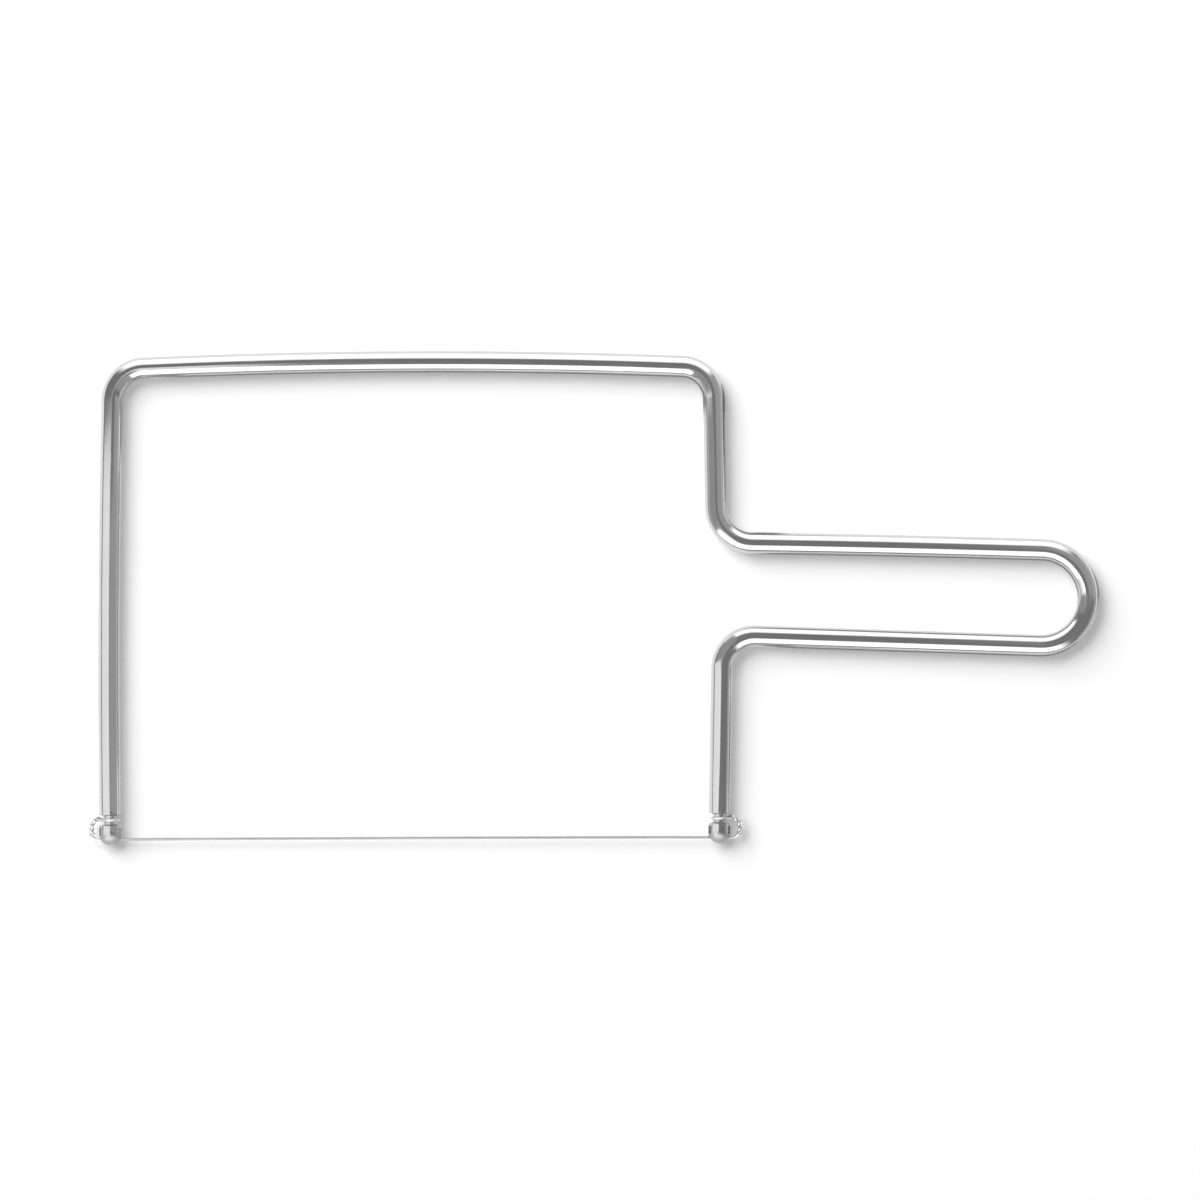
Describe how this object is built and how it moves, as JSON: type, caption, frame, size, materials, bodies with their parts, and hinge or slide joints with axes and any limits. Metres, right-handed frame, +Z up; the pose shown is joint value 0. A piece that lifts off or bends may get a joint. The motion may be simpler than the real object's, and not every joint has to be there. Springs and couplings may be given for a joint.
{
  "type": "cheese wire",
  "caption": "Hand-held cheese wire: a bow and handle loop bent from one round steel rod, with a taut cutting wire across its mouth.",
  "frame": {"origin": "under the middle of the whole tool, on the surface that it lies on", "axes": "+X along the handle, away from the bow; +Y from the cutting wire up to the top bar; +Z up, out of the plane that the tool lies in"},
  "size_m": [0.2316, 0.113, 0.005],
  "materials": {
    "polished_rod": "polished stainless steel rod",
    "drawn_wire": "bright drawn stainless wire"
  },
  "bodies": {
    "root": {"bow_frame": "polished_rod", "cutting_wire": "drawn_wire"}
  },
  "joints": []
}
